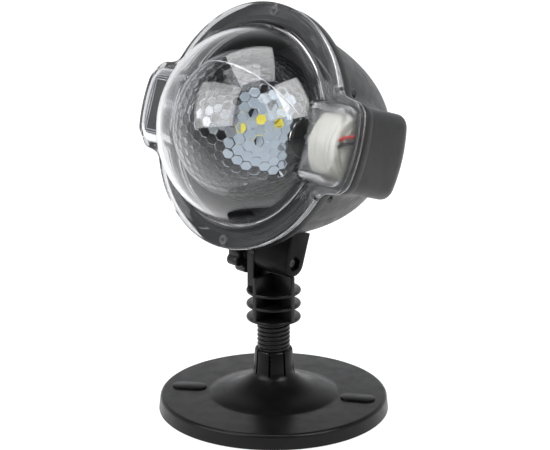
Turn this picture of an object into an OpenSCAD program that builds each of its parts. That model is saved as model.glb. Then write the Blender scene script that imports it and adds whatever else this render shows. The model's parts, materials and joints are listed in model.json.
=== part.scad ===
// Moving-light projector: a round lamp head with two side pods, a clear domed cover and a
// motor-driven lens ball, on a tilting ribbed neck that screws into a disc base.
// Millimetres. +Z up, front towards -Y, origin at the centre of the base underside.

/* [Base] */
// Radius of the base disc at the floor
base_r = 62; // [56:1:75]
// Height of the flat top face of the disc
base_h = 8.5; // [7:0.5:12]
// Wall thickness of the disc moulding
base_wall = 2.6; // [2:0.2:4]
// Radius of the raised mound at its foot
mound_r = 35; // [30:1:42]
// Height at which the mound meets the socket
mound_top = 20.5; // [17:0.5:24]
// Height of the top of the slotted socket
socket_top = 34; // [30:0.5:38]
// Radius of the socket at its foot
socket_r = 10.9; // [10.5:0.1:12]
// Number of slits in the socket
slit_count = 8; // [6:1:10]
// Length of the two raised ovals on the disc
oval_l = 18.8; // [14:0.2:22]
// Width of the two raised ovals on the disc
oval_w = 10.2; // [8:0.2:12]
// Thickness of the rubber sheet under the disc
pad_t = 2.2; // [1.5:0.1:3]

/* [Stem] */
// Radius of the three neck discs
neck_r = 14.6; // [13:0.1:16]
// Thickness of a neck disc
disc_t = 1.7; // [1.2:0.1:2.5]
// Height of the middle of the lowest neck disc
disc_z = 51.4; // [48:0.1:56]
// Distance between neck discs
disc_pitch = 7.45; // [6:0.05:9]
// Thickness of the webs of the cross-shaped core
web_t = 2.6; // [2:0.1:4]
// Outer radius of the threaded stud
stud_r = 8.8; // [8:0.1:9]
// Distance between thread crests
thread_pitch = 2.4; // [2:0.1:3]

/* [Tilt joint] */
// Height of the tilt axis above the floor
pivot_z = 84; // [80:0.5:90]
// Angle by which the lamp looks upwards
tilt = 18; // [0:1:30]
// Inner face of the stem's ear
ear_face = 8.2; // [7:0.1:9]
// Half width of the ear and half depth of the lug
lug_r = 7; // [6:0.1:8]
// Far face of the lug, where the nut goes in
lug_x = 15.5; // [14:0.5:18]
// Radius of the clamp bolt
bolt_r = 2; // [1.5:0.5:2.5]
// Radius of the hand knob over its lobes
knob_r = 12; // [10:0.5:14]
// Number of lobes on the knob
lobe_count = 7; // [5:1:9]

/* [Lamp head] */
// Distance of the cover's front plane ahead of the tilt axis
face_f = 42.6; // [38:0.2:50]
// Height of the lamp's axis above the tilt axis
axis_n = 65.7; // [64:0.1:70]
// Radius of the cover flange
flange_r = 64; // [60:0.5:68]
// Radius of the side pods' rounded outer ends
ear_r = 77.2; // [76:0.2:80]
// Half height of a side pod
ear_y = 23.4; // [23:0.2:25]
// Corner radius of a side pod
ear_corner = 9; // [8:0.5:10]
// Radius of the hollow corner between pod and ring
ear_fillet = 7; // [5:0.5:9]
// Thickness of the cover flange
cover_t = 3; // [2:0.5:4]
// Wall thickness of the cover
cover_wall = 2; // [1.5:0.1:3]
// Radius of the dome's sphere
dome_r = 53.3; // [50:0.1:56]
// Depth of the dome's centre behind the front plane
dome_sink = 10.5; // [8:0.1:14]
// Height of the raised side windows
window_h = 8; // [6:0.5:10]
// Thickness of the cover gasket
gasket_t = 1; // [0.6:0.1:1.5]
// Thickness of the housing's rim
rim_t = 5.5; // [4:0.5:8]
// Radius of the bowl behind the rim
bowl_r = 57.5; // [54:0.5:60]
// Depth of the bowl behind the front plane
bowl_d = 86; // [80:1:95]
// Wall thickness of the housing
wall = 2.6; // [2:0.1:3.5]
// Depth of the side pods behind the front plane
pod_d = 42; // [38:1:48]

/* [Lens ball] */
// Outer radius of the lens ball
ball_r = 39.5; // [37:0.5:41]
// Wall thickness of the ball
ball_wall = 2; // [1.5:0.1:2.5]
// Depth of the ball's centre behind the front plane
ball_sink = 3; // [0:0.5:5]
// Distance of the seam plane from the ball's centre
seam_off = 4.6; // [2:0.1:7]
// Angle of the seam plane's normal above the rearward axis
seam_ang = 51; // [30:1:70]
// Radius of the openings at the ball's poles
pole_r = 9; // [8:0.5:10]

/* [Drive and light] */
// Radius of the motor
motor_r = 18.4; // [16:0.2:18.6]
// Length of the motor
motor_l = 14; // [12:0.5:14.5]
// Offset of the output shaft from the motor's centre
shaft_off = 10.6; // [10:0.2:11]
// Radius of the motor shaft
shaft_r = 2.5; // [2:0.1:3]
// Radius of the fixed arm tube
arm_r = 5; // [4:0.1:5.5]
// Side length of the square LED board
led_w = 41; // [40:1:46]
// Depth of the LED board's back face behind the front plane
led_depth = 13; // [11:0.5:14]

/* [Hidden] */
$fn = 96;
eps = 0.01;
fit = 0.05;            // running clearance of shafts in bores
slip = 0.1;            // gap between faces that slide
black = "#1c1c1e";
smoke = "#8a8c90";
steel = "#b8b8bc";

// Base
base_edge = 2;
rise = 0.4;            // gap under the skirt, so that the rubber carries the weight
bore_floor = 10;
bore_r = stud_r + fit;
socket_tip = socket_r - 0.8;
slit_w = 1.1;
slit_first = -57;
rib_count = 8;
rib_w = 2;
oval_at = 46.3;
oval_h = 0.9;
oval_angles = [216, 31.5];
mound_swell = 3.4;
mound_steps = 24;
function mound_z(r) = base_h + mound_swell * (1 - pow(r / mound_r, 6))
  + (mound_top - base_h - mound_swell) * pow((mound_r - r) / (mound_r - socket_r), 3);

// Stem
web_top = pivot_z - lug_r - 0.6;
stud_low = bore_floor + 0.6;
stud_high = disc_z;
thread_depth = 0.95;
root_r = stud_r - thread_depth;
turns = floor((stud_high - stud_low - 2) / thread_pitch);

// Tilt joint, measured along X from the neck's axis
washer_t = 1;
seat_x = -15.2;
washer_x = seat_x - washer_t;
knob_hub_l = 0.8;
knob_l = 8;
knob_x = washer_x - knob_hub_l - knob_l;
lobe_r = 2.9;
head_l = 2.8;
head_x = washer_x - 2.5 - head_l;
nut_t = 3.2;
nut_r = 4.04;
nut_x = 9.6;
bolt_end = nut_x + nut_t + 0.8;

// Lamp head
gasket_z = -cover_t - gasket_t;
rim_z = gasket_z - rim_t;
bowl_p = 1.65;         // the bowl's outline is a superellipse
bowl_q = 3.2;
bowl_steps = 28;
open_c = 9;            // the housing's mouth, inside the flange outline
open_b = 4.2;
pod_inset = 1.6;
window_inset = 3;
screw_spots = [[0, 60], [0, -60], [54.2, 26.6], [54.2, -26.6], [-54.2, 26.6], [-54.2, -26.6]];
boss_l = 4;
boss_r = 2.6;
gland_y = -12;
gland_face = -bowl_d - 1.5;
gland_in = -bowl_d + 6;
gland_bore = 3;
gland_r = 5.9;

// Lens ball and drive
pole_flat = 38.3;
hub_r = 10;
hub_t = 2;
seat_plate_x = 46.5;
seat_plate_t = 3;
motor_x = seat_plate_x + seat_plate_t;
motor_z = -ball_sink - shaft_off;
cap_t = 4;
motor_screw_y = 10.5;
bracket_x = [-68.5, -52];
bracket_y = 16.5;
bracket_z = [-20, 4.5];
bracket_screw = [-61, 11.5];
sink_x = 26;
led_y = -0.6;
sink_t = 3;
led_t = 1.6;
chip_w = 5;
chip_t = 1.4;
chip_row = 2.9;
chip_pitch = 11.3;
chip_angle = 19;
led_screw_x = 16.1;
led_screw_y = [-8.3, 11.8];
led_notch = [-15, -5, 6];
led_part_spots = [[3, 12, 3.8], [-1.5, -6.5, 3.6], [-9.6, 5.6, 3.4]];
shroud_z = -38;
shroud_r = 48.8;
shroud_hole = 25.4;
shroud_post = 29;
pcb = [54, 36, 1.6];
pcb_y = 6;
pcb_z = -54;
pcb_post = [22, 13];
lead_r = 0.8;

// ---- placing --------------------------------------------------------------------------

// Head frame: origin on the tilt axis, leaning back with the lamp
module in_head() {
  translate([0, 0, pivot_z]) rotate([-tilt, 0, 0]) children();
}

// Lamp frame: x to the right pod, y up, z forwards from the cover's front plane
module in_lamp() {
  in_head() translate([0, -face_f, axis_n]) rotate([90, 0, 0]) children();
}

// A cylinder along X from x0 to x1
module rod_x(r, x0, x1, fn = 96) {
  translate([x0, 0, 0]) rotate([0, 90, 0]) cylinder(r = r, h = x1 - x0, $fn = fn);
}

module box(lo, hi) {
  translate(lo) cube(hi - lo);
}

// Screw along +z with its head's underside at z = 0
module screw(r, length, head_r, head_h) {
  translate([0, 0, -eps / 2]) cylinder(r = r, h = length, $fn = 32);
  difference() {
    translate([0, 0, -head_h]) cylinder(r = head_r, h = head_h, $fn = 48);
    for (a = [0, 90]) {
      rotate([0, 0, a]) translate([-head_r * 0.6, -0.35, -head_h - 1]) cube([head_r * 1.2, 0.7, 1.7]);
    }
  }
}

// Tube along a smooth curve through the given points
function curve(p, n) = [for (i = [0 : len(p) - 2]) for (k = [0 : n - 1]) let(
    a = p[max(i - 1, 0)],
    b = p[i],
    c = p[i + 1],
    d = p[min(i + 2, len(p) - 1)],
    t = k / n)
  0.5 * (2 * b + (c - a) * t + (2 * a - 5 * b + 4 * c - d) * t * t + (3 * b - a - 3 * c + d) * t * t * t)];
function unit(v) = v / norm(v);

module lead(points, r) {
  sides = 8;
  line = concat(curve(points, 5), [points[len(points) - 1]]);
  last = len(line) - 1;
  rings = [for (i = [0 : last]) let(
      dir = unit(line[min(i + 1, last)] - line[max(i - 1, 0)]),
      u = unit(cross(dir, [0.12, 1, 0.31])),
      v = cross(dir, u))
    for (k = [0 : sides - 1]) line[i] + r * (cos(360 * k / sides) * u + sin(360 * k / sides) * v)];
  walls = [for (i = [0 : last - 1]) for (k = [0 : sides - 1]) let(n = (k + 1) % sides)
    [i * sides + k, i * sides + n, (i + 1) * sides + n, (i + 1) * sides + k]];
  ends = [[for (k = [0 : sides - 1]) sides - 1 - k], [for (k = [0 : sides - 1]) last * sides + k]];
  polyhedron(points = rings, faces = concat(walls, ends));
}

// ---- outlines -------------------------------------------------------------------------

// Wide bar of half height hy whose ends lie on a circle of radius r, with corners of radius rc
module bar(r, hy, rc) {
  cy = hy - rc;
  cx = sqrt(pow(r - rc, 2) - pow(cy, 2));
  square([2 * cx, 2 * hy], center = true);
  intersection() {
    circle(r = r);
    square([2 * r + 2, 2 * cy * r / (r - rc)], center = true);
  }
  for (sx = [-1, 1]) {
    for (sy = [-1, 1]) {
      translate([sx * cx, sy * cy]) circle(r = rc + eps);
    }
  }
}

// The side pods' outline, inset by b
module pod_bar(b) {
  bar(ear_r - b, ear_y - b, max(ear_corner - b, 2));
}

// Ring with two side pods and hollow corners: c is the ring's inset, b the pods' inset
module lamp_outline(c, b) {
  r = flange_r - c;
  hy = ear_y - b;
  rf = ear_fillet + b;
  fx = sqrt(pow(r + rf, 2) - pow(hy + rf, 2));
  k = r / (r + rf);
  circle(r = r);
  pod_bar(b);
  for (sx = [-1, 1]) {
    for (sy = [-1, 1]) {
      scale_signs(sx, sy) difference() {
        polygon([[fx - 12, hy - 3], [fx, hy - 3], [fx, hy + rf], [fx * k, (hy + rf) * k]]);
        translate([fx, hy + rf]) circle(r = rf + 0.01);
      }
    }
  }
}

module scale_signs(sx, sy) {
  mirror([sx < 0 ? 1 : 0, 0]) mirror([0, sy < 0 ? 1 : 0]) children();
}

// Half outline of the bowl, inset by the wall: a superellipse from the mouth to the back
function bowl_radius(t, inset) = (bowl_r - inset) * pow(1 - pow(t, bowl_p), 1 / bowl_q);
module bowl(inset, front) {
  depth = bowl_d - inset;
  first = max(0, -front / depth);
  rotate_extrude() polygon(concat(
    front > 0 ? [[0, front], [bowl_r - inset, front]] : [[0, front]],
    [for (i = [0 : bowl_steps]) let(t = 1 - (1 - first) * pow(1 - i / bowl_steps, 1.8))
      [bowl_radius(t, inset), -depth * t]]));
}

module slab(z0, z1) {
  translate([0, 0, z0]) linear_extrude(z1 - z0) children();
}

// ---- base -----------------------------------------------------------------------------

// Flat oval with round ends
module oval(l, w) {
  square([l - w, w], center = true);
  for (s = [-1, 1]) {
    translate([s * (l - w) / 2, 0]) circle(r = w / 2);
  }
}

module base_disc() {
  color(black) difference() {
    union() {
      rotate_extrude($fn = 180) polygon(concat(
        [[0, rise], [base_r, rise], [base_r - 0.7, base_h - base_edge]],
        [for (a = [15 : 15 : 90])
          [base_r - 0.7 - base_edge * (1 - cos(a)), base_h - base_edge * (1 - sin(a))]],
        [for (i = [0 : mound_steps]) let(r = mound_r - (mound_r - socket_r) * i / mound_steps)
          [r, mound_z(r)]],
        [[socket_tip, socket_top - 1], [socket_tip - 1, socket_top], [0, socket_top]]));
      for (a = oval_angles) {
        rotate([0, 0, a]) translate([oval_at, 0, base_h - 1]) linear_extrude(1 + oval_h) oval(oval_l, oval_w);
      }
    }
    // hollow underside, which leaves the socket's tube and the ribs standing
    difference() {
      rotate_extrude($fn = 180) polygon(concat(
        [[bore_r + base_wall, -1], [base_r - base_wall - 0.7, -1],
          [base_r - base_wall - 0.7, base_h - base_wall]],
        [for (i = [0 : mound_steps]) let(r = mound_r - (mound_r - bore_r - base_wall) * i / mound_steps)
          [r, min(mound_z(max(r, socket_r)), mound_top) - base_wall]]));
      for (k = [0 : rib_count - 1]) {
        rotate([0, 0, 360 * k / rib_count])
          box([bore_r, -rib_w / 2, pad_t], [base_r - 1, rib_w / 2, mound_top]);
      }
    }
    translate([0, 0, -1]) cylinder(r = bore_r + base_wall + eps, h = bore_floor - base_wall + 1);
    translate([0, 0, bore_floor]) cylinder(r = bore_r, h = socket_top);
    translate([0, 0, socket_top - 1]) cylinder(r1 = bore_r - eps, r2 = bore_r + 1, h = 1 + eps);
    for (k = [0 : slit_count - 1]) {
      rotate([0, 0, slit_first + 360 * k / slit_count])
        box([bore_r - 1, -slit_w / 2, mound_top], [socket_r + 1, slit_w / 2, socket_top + 1]);
    }
  }
}

module base_pad() {
  pad_r = base_r - base_wall - 1.2;
  color("#2a2a2a") {
    cylinder(r1 = pad_r - 0.6, r2 = pad_r, h = 0.6, $fn = 180);
    translate([0, 0, 0.6 - eps]) cylinder(r = pad_r, h = pad_t - 0.6 + eps, $fn = 180);
  }
}

// ---- stem and tilt joint --------------------------------------------------------------

module stud() {
  rotate_extrude() polygon(concat(
    [[0, stud_low], [root_r - 1, stud_low], [root_r, stud_low + 1]],
    [for (i = [0 : turns - 1]) let(z = stud_low + 1.2 + i * thread_pitch)
      each [[root_r, z], [stud_r, z + thread_pitch * 0.4], [stud_r, z + thread_pitch * 0.6],
        [root_r, z + thread_pitch - eps]]],
    [[root_r, stud_high], [0, stud_high]]));
}

module stem() {
  color(black) difference() {
    union() {
      stud();
      for (k = [0 : 2]) {
        translate([0, 0, disc_z + k * disc_pitch - disc_t / 2]) cylinder(r = neck_r, h = disc_t);
      }
      intersection() {
        cylinder(r = neck_r, h = pivot_z);
        union() {
          box([-neck_r, -web_t / 2, disc_z], [neck_r, web_t / 2, web_top]);
          box([-web_t / 2, -neck_r, disc_z], [web_t / 2, neck_r, web_top]);
        }
      }
      intersection() {
        cylinder(r = neck_r, h = pivot_z + lug_r + 1);
        union() {
          box([-neck_r - 1, -lug_r, disc_z + 2 * disc_pitch], [-ear_face, lug_r, pivot_z]);
          translate([0, 0, pivot_z]) rod_x(lug_r, -neck_r - 1, -ear_face);
        }
      }
      translate([0, 0, pivot_z]) rod_x(5.5, seat_x, -ear_face);
    }
    translate([0, 0, pivot_z]) rod_x(bolt_r + fit, seat_x - 1, 0);
  }
}

module clamp_knob() {
  color(black) translate([0, 0, pivot_z]) difference() {
    union() {
      translate([knob_x, 0, 0]) rotate([0, 90, 0]) linear_extrude(knob_l) {
        circle(r = knob_r - lobe_r + 0.4);
        for (k = [0 : lobe_count - 1]) {
          rotate(360 * k / lobe_count) translate([knob_r - lobe_r, 0]) circle(r = lobe_r);
        }
      }
      rod_x(6, knob_x + knob_l - eps, washer_x);
    }
    rod_x(nut_r + 0.02, knob_x - 1, head_x + head_l, 6);
    rod_x(bolt_r + 0.02, head_x, washer_x + 1);
  }
}

module clamp_bolt() {
  color(steel) translate([0, 0, pivot_z]) {
    rod_x(nut_r, head_x, head_x + head_l, 6);
    rod_x(bolt_r, head_x + head_l - eps, bolt_end);
  }
}

module knob_washer() {
  color(steel) translate([0, 0, pivot_z]) difference() {
    rod_x(5.2, washer_x, seat_x - slip);
    rod_x(bolt_r + 0.1, washer_x - 1, seat_x + 1);
  }
}

module clamp_nut() {
  color(steel) in_head() difference() {
    rod_x(nut_r, nut_x, nut_x + nut_t, 6);
    rod_x(bolt_r + fit, nut_x - 1, nut_x + nut_t + 1);
  }
}

// ---- lamp head ------------------------------------------------------------------------

// Pod body between two depths, with its rear outer edges rounded
module pods(inset, front) {
  hx = ear_r - pod_inset - inset;
  hy = ear_y - 1.5 - inset;
  back = -(pod_d - inset);
  round_r = 8 - inset;
  side = hx + 5 * eps;  // just outside the bar's round ends
  intersection() {
    slab(back, front) bar(hx, hy, max(round_r, 2));
    rotate([90, 0, 0]) translate([0, 0, -hy - 1]) linear_extrude(2 * hy + 2) {
      translate([-side, back + round_r]) square([2 * side, front - back - round_r + 1]);
      translate([-side + round_r, back - 1]) square([2 * (side - round_r), round_r + 1 + eps]);
      for (s = [-1, 1]) {
        translate([s * (side - round_r), back + round_r]) circle(r = round_r);
      }
    }
  }
}

module lug() {
  rod_x(lug_r, -ear_face + slip, lug_x);
  box([-ear_face + slip, -lug_r, 0], [lug_x, lug_r, axis_n - bowl_r + 12]);
}

// Round post with a screw hole, standing on the housing's wall
module post(x, y, top, bottom, r, hole, depth) {
  difference() {
    translate([x, y, bottom]) cylinder(r = r, h = top - bottom, $fn = 48);
    translate([x, y, top - depth]) cylinder(r = hole, h = depth + 1, $fn = 32);
  }
}

module housing_posts() {
  for (sx = [-1, 1]) {
    for (sy = [-1, 1]) {
      post(sx * shroud_post, sy * shroud_post, shroud_z, -64, 3.2, 1.25, 9);
      post(sx * pcb_post[0], pcb_y + sy * pcb_post[1], pcb_z, -84, 3, 1.05, 8);
    }
  }
}

// Wall inside the bowl that the motor is screwed to
module motor_seat() {
  difference() {
    box([seat_plate_x, -32, -32], [motor_x, 32, rim_z + rim_t]);
    translate([0, 0, -ball_sink]) rod_x(6, seat_plate_x - 1, motor_x + 1);
    for (s = [-1, 1]) {
      translate([0, s * motor_screw_y, motor_z]) rod_x(1.4, seat_plate_x - 1, motor_x + 1, 32);
    }
  }
}

module rear_housing() {
  color(black) difference() {
    union() {
      in_lamp() {
        difference() {
          union() {
            slab(rim_z, gasket_z) lamp_outline(0.6, 0.6);
            bowl(0, rim_z + eps);
            pods(0, rim_z + eps);
            for (p = screw_spots) {
              translate([p[0], p[1], rim_z - 2]) cylinder(r = 2.9, h = 3);
            }
            translate([0, gland_y, gland_face]) cylinder(r = 10, h = 8);
          }
          bowl(wall, rim_z + 1);
          pods(wall, rim_z + 1);
          slab(rim_z - eps, gasket_z + 1) lamp_outline(open_c, open_b);
        }
        intersection() {
          bowl(wall / 2, gasket_z);
          union() {
            motor_seat();
            housing_posts();
            translate([0, gland_y, gland_face]) cylinder(r = 10, h = gland_in - gland_face);
          }
        }
        for (sy = [-1, 1]) {
          post(bracket_screw[0], sy * bracket_screw[1], bracket_z[0], -pod_d + 1, 4, 1.55, 12);
        }
      }
      difference() {
        in_head() lug();
        in_lamp() bowl(wall, 0);
      }
    }
    in_lamp() {
      for (p = screw_spots) {
        translate([p[0], p[1], gasket_z - boss_l + 0.8]) cylinder(r = boss_r + 0.15, h = boss_l, $fn = 48);
        translate([p[0], p[1], rim_z - 5]) cylinder(r = 1.6, h = 10, $fn = 32);
      }
      translate([0, gland_y, gland_face - 1]) cylinder(r = gland_r + 0.1, h = 20);
    }
    in_head() {
      rod_x(bolt_r + 0.08, -ear_face - 1, lug_x + 1);
      rod_x(nut_r + 0.15, nut_x - slip, lug_x + 1, 6);
    }
  }
}

module front_cover() {
  color(smoke, 0.5) in_lamp() difference() {
    union() {
      slab(-cover_t, 0) lamp_outline(0, 0);
      slab(-0.5, 1) difference() {
        lamp_outline(0.6, 0.6);
        lamp_outline(2.4, 2.4);
      }
      slab(-1, window_h) pod_bar(window_inset);
      intersection() {
        translate([0, 0, -dome_sink]) sphere(r = dome_r);
        translate([0, 0, -1.5]) cylinder(r = dome_r + 1, h = dome_r);
      }
      for (p = screw_spots) {
        translate([p[0], p[1], -cover_t - boss_l]) cylinder(r = boss_r, h = boss_l + 1, $fn = 48);
      }
    }
    translate([0, 0, -dome_sink]) sphere(r = dome_r - cover_wall);
    slab(-cover_t - 1, window_h - cover_wall) pod_bar(window_inset + cover_wall);
    for (p = screw_spots) {
      translate([p[0], p[1], -cover_t - boss_l - 1]) cylinder(r = 1.2, h = boss_l + 3, $fn = 32);
    }
  }
}

module cover_gasket() {
  color("#303030") in_lamp() slab(gasket_z, -cover_t) difference() {
    lamp_outline(6.8, 2.2);
    lamp_outline(8.8, 4);
    for (p = screw_spots) {
      translate(p) circle(r = boss_r + 0.3);
    }
  }
}

module cover_screws() {
  color(steel) in_lamp() {
    for (p = screw_spots) {
      translate([p[0], p[1], rim_z - 2]) screw(1.15, rim_t + 2 + gasket_t + 1, 2.7, 1.8);
    }
  }
}

module cable_gland() {
  color(black) in_lamp() translate([0, gland_y, 0]) difference() {
    union() {
      translate([0, 0, gland_face - 1.5 - 5]) cylinder(r = 9, h = 5, $fn = 6);
      translate([0, 0, gland_face - 1.5 - 10]) cylinder(r1 = 5.6, r2 = 7.4, h = 5 + eps);
      translate([0, 0, gland_face - 1.5 - eps]) cylinder(r = gland_r, h = gland_in - gland_face + 7.5);
    }
    translate([0, 0, gland_face - 20]) cylinder(r = gland_bore, h = 60);
  }
}

module gland_seal() {
  color("#303030") in_lamp() translate([0, gland_y, gland_face - 1.5]) difference() {
    cylinder(r = 8, h = 1.5);
    translate([0, 0, -1]) cylinder(r = gland_r + 0.1, h = 4);
  }
}

module gland_nut() {
  color(black) in_lamp() translate([0, gland_y, gland_in]) difference() {
    cylinder(r = 8.6, h = 4, $fn = 6);
    translate([0, 0, -1]) cylinder(r = gland_r + fit, h = 6);
  }
}

// ---- lens ball ------------------------------------------------------------------------

module ball_frame() {
  in_lamp() translate([0, 0, -ball_sink]) children();
}

module ball_shell() {
  difference() {
    intersection() {
      sphere(r = ball_r);
      rod_x(ball_r + 1, -pole_flat, pole_flat);
    }
    sphere(r = ball_r - ball_wall);
    rod_x(pole_r, -ball_r, ball_r);
  }
}

// Half space beyond the seam plane: up and to the rear of it
module seam_side(gap) {
  rotate([seam_ang - 180, 0, 0]) translate([-60, -60, seam_off + gap]) cube(120);
}

module ball_main_shell() {
  color(smoke, 0.4) ball_frame() difference() {
    ball_shell();
    seam_side(0);
  }
}

module ball_cap_shell() {
  color(smoke, 0.4) ball_frame() intersection() {
    ball_shell();
    seam_side(eps);
  }
}

module ball_hub(side, bore) {
  ball_frame() mirror([side < 0 ? 1 : 0, 0, 0]) difference() {
    union() {
      rod_x(hub_r, pole_flat, pole_flat + hub_t);
      rod_x(pole_r - fit, pole_flat - 3, pole_flat + eps);
    }
    rod_x(bore, pole_flat - 5, pole_flat + hub_t + 1);
  }
}

module ball_hub_left() {
  color(black) ball_hub(-1, arm_r + fit);
}

module ball_hub_right() {
  color(black) ball_hub(1, shaft_r + 0.02);
}

// ---- drive ----------------------------------------------------------------------------

module motor_shaft() {
  color(steel) ball_frame() rod_x(shaft_r, pole_flat - 2, motor_x + 10);
}

module drive_motor() {
  color("#e8e2cc") in_lamp() difference() {
    union() {
      translate([0, 0, motor_z]) rod_x(motor_r, motor_x, motor_x + motor_l);
      translate([0, 0, -ball_sink]) rod_x(4.5, motor_x - 3.5, motor_x + 1);
    }
    translate([0, 0, -ball_sink]) rod_x(shaft_r + fit, motor_x - 5, motor_x + 11);
    for (s = [-1, 1]) {
      translate([0, s * motor_screw_y, motor_z]) rod_x(1.3, motor_x - 1, motor_x + 7, 32);
    }
  }
}

module motor_cap() {
  color("#e8e2cc") in_lamp() translate([0, 0, motor_z]) {
    rod_x(motor_r - 0.6, motor_x + motor_l, motor_x + motor_l + cap_t - 1);
    rod_x(motor_r - 4, motor_x + motor_l + cap_t - 1 - eps, motor_x + motor_l + cap_t);
    rod_x(4, motor_x + motor_l + cap_t - eps, motor_x + motor_l + cap_t + 1.2);
  }
}

module motor_screws() {
  color(steel) in_lamp() {
    for (s = [-1, 1]) {
      translate([seat_plate_x, s * motor_screw_y, motor_z]) rotate([0, 90, 0]) screw(1.25, 8, 2.4, 1.6);
    }
  }
}

motor_path = [[66.9, 3, 2], [68.9, 4.5, 2.2], [70.3, 6, -4], [71, 5, -14], [71, 1, -27], [66.5, -2, -34.6],
  [57, -3, -36.4], [46.5, -1.8, -36.6], [44, -1.5, -41], [40, -1.5, -48], [32, -1.5, -51.5],
  [27.1, -1.5, -52.2]];

module motor_lead_red() {
  color("#b02020") in_lamp() lead(motor_path, lead_r);
}

module motor_lead_black() {
  color(black) in_lamp() translate([0, -3.2, 0]) lead(motor_path, lead_r);
}

// ---- light ----------------------------------------------------------------------------

module led_arm() {
  color(steel) ball_frame() difference() {
    rod_x(arm_r, bracket_x[0] + 1, -sink_x + 2);
    rod_x(arm_r - 1.6, bracket_x[0], -sink_x + 4);
  }
}

module arm_bracket() {
  color(black) in_lamp() difference() {
    box([bracket_x[0], -bracket_y, bracket_z[0]], [bracket_x[1], bracket_y, bracket_z[1]]);
    translate([0, 0, -ball_sink]) rod_x(arm_r + 0.02, bracket_x[0] - 1, bracket_x[1] + 1);
    translate([(bracket_x[0] + bracket_x[1]) / 2, 0, bracket_z[1] - 0.5]) linear_extrude(1) difference() {
      square([15.4, 29.6], center = true);
      square([14, 28.2], center = true);
    }
    for (s = [-1, 1]) {
      translate([bracket_screw[0], s * bracket_screw[1], bracket_z[0] - 1])
        cylinder(r = 1.6, h = 40, $fn = 32);
      translate([bracket_screw[0], s * bracket_screw[1], bracket_z[1] - 2.5])
        cylinder(r = 3, h = 4, $fn = 48);
    }
  }
}

module bracket_screws() {
  color(steel) in_lamp() {
    for (s = [-1, 1]) {
      translate([bracket_screw[0], s * bracket_screw[1], bracket_z[1] - 2.5])
        mirror([0, 0, 1]) screw(1.5, 30, 2.8, 1.8);
    }
  }
}

module heat_sink() {
  back = -led_depth - sink_t;
  color("#c8c8cc") in_lamp() difference() {
    union() {
      box([-led_w / 2 + 1, led_y - led_w / 2 + 1, back], [led_w / 2 - 1, led_y + led_w / 2 - 1, -led_depth]);
      for (x = [-14 : 4 : 14]) {
        box([x - 0.6, -17, back - 8], [x + 0.6, 15, back + eps]);
      }
      box([-sink_x - 4, -7.5, back], [-led_w / 2 + 3, 7.5, -led_depth]);
      box([-sink_x - 4, -7.5, back], [-sink_x + 3, 7.5, -ball_sink]);
      translate([0, 0, -ball_sink]) rod_x(7.5, -sink_x - 4, -sink_x + 3);
    }
    translate([0, 0, -ball_sink]) {
      rod_x(arm_r + 0.02, -sink_x - 5, -sink_x + 2.02);
      rod_x(arm_r - 1.6, -sink_x - 5, -sink_x + 5);
    }
    for (sx = [-1, 1]) {
      for (y = led_screw_y) {
        translate([sx * led_screw_x, y, back - 1]) cylinder(r = 1.05, h = 10, $fn = 32);
      }
    }
  }
}

module led_board() {
  cut = 5;
  h = led_w / 2;
  color("#dfe8f2") in_lamp() difference() {
    translate([0, led_y, -led_depth]) linear_extrude(led_t)
      polygon([[-h + cut, -h], [h - cut, -h], [h, -h + cut], [h, h - cut],
        [h - cut, h], [-h + cut, h], [-h, h - cut], [-h, -h + cut]]);
    box([-h - 1, led_notch[1], -led_depth - 1], [led_notch[0], led_notch[2], 0]);
    for (sx = [-1, 1]) {
      for (y = led_screw_y) {
        translate([sx * led_screw_x, y, -led_depth - 1]) cylinder(r = 1.1, h = 10, $fn = 32);
      }
    }
  }
}

module led_chips() {
  color("#f2e05a") in_lamp() {
    translate([0, led_y + chip_row, -led_depth + led_t]) rotate([0, 0, chip_angle]) {
      for (k = [-1 : 1]) {
        translate([k * chip_pitch - chip_w / 2, -chip_w / 2, 0]) cube([chip_w, chip_w, chip_t - 0.5]);
        translate([k * chip_pitch, 0, chip_t - 0.5 - eps]) cylinder(r = 2, h = 0.5, $fn = 48);
      }
    }
  }
}

module led_parts() {
  color("#202024") in_lamp() {
    for (p = led_part_spots) {
      translate([p[0] - p[2] / 2, p[1] - p[2] / 2, -led_depth + led_t]) cube([p[2], p[2], 1.2]);
    }
  }
}

module board_screws() {
  color(steel) in_lamp() {
    for (sx = [-1, 1]) {
      for (y = led_screw_y) {
        translate([sx * led_screw_x, y, -led_depth + led_t]) mirror([0, 0, 1]) screw(1, 4.5, 2, 1.3);
      }
    }
  }
}

// ---- inside the bowl ------------------------------------------------------------------

module inner_shroud() {
  color(black) in_lamp() difference() {
    union() {
      translate([0, 0, shroud_z]) cylinder(r = shroud_r, h = 1.8);
      translate([0, 0, shroud_z]) cylinder(r = shroud_hole + 1.6, h = 3.4);
    }
    translate([0, 0, shroud_z - 1]) cylinder(r = shroud_hole, h = 6);
    for (s = [-1, 1]) {
      box([s < 0 ? -60 : 41.5, -8, shroud_z - 1], [s < 0 ? -41.5 : 60, 5, shroud_z + 5]);
      for (sy = [-1, 1]) {
        translate([s * shroud_post, sy * shroud_post, shroud_z - 1]) cylinder(r = 1.5, h = 5, $fn = 32);
      }
    }
  }
}

module shroud_screws() {
  color(steel) in_lamp() {
    for (sx = [-1, 1]) {
      for (sy = [-1, 1]) {
        translate([sx * shroud_post, sy * shroud_post, shroud_z + 1.8])
          mirror([0, 0, 1]) screw(1.2, 8, 2.6, 1.6);
      }
    }
  }
}

module control_board() {
  color("#2f6b3c") in_lamp() difference() {
    translate([-pcb[0] / 2, pcb_y - pcb[1] / 2, pcb_z]) cube(pcb);
    for (sx = [-1, 1]) {
      for (sy = [-1, 1]) {
        translate([sx * pcb_post[0], pcb_y + sy * pcb_post[1], pcb_z - 1]) cylinder(r = 1.1, h = 5, $fn = 32);
      }
    }
  }
}

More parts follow.
